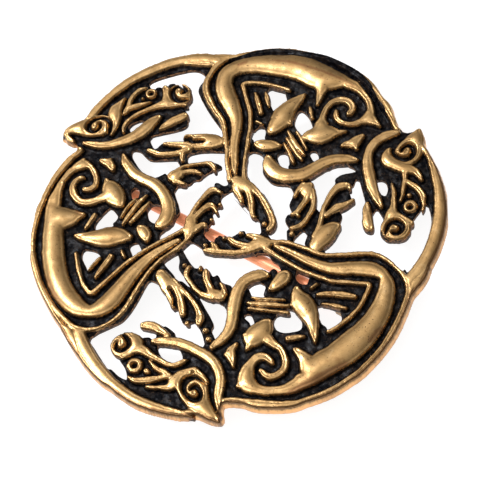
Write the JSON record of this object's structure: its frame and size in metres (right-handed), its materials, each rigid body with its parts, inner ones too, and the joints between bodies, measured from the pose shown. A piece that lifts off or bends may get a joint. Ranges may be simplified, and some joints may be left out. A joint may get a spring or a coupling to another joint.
{
  "type": "dog brooch",
  "caption": "Round openwork brooch of interlaced hounds in cast bronze with a blackened ground, on a swinging copper-wire pin.",
  "frame": {"origin": "under the centre of the brooch's box, on the plane its back fittings lie on", "axes": "+Z out of the decorated face, +X to the right and +Y up in the plane of the disc as the picture shows it"},
  "size_m": [0.0454, 0.0444, 0.0044],
  "materials": {
    "bronze": "polished cast bronze on the raised lines, black patina in the ground",
    "copper": "bright drawn copper wire",
    "rivet_bronze": "satin bronze"
  },
  "bodies": {
    "brooch": {"hound_disc": "bronze", "hinge_rivet": "rivet_bronze"},
    "pin": {"pin": "copper"}
  },
  "joints": [
    {"name": "pin_hinge", "type": "hinge", "parent": "brooch", "child": "pin", "pos_m": [-0.01386, 0.00658, 0.0014], "axis": [0.512, 0.859, 0], "range_deg": [0, 60]}
  ]
}
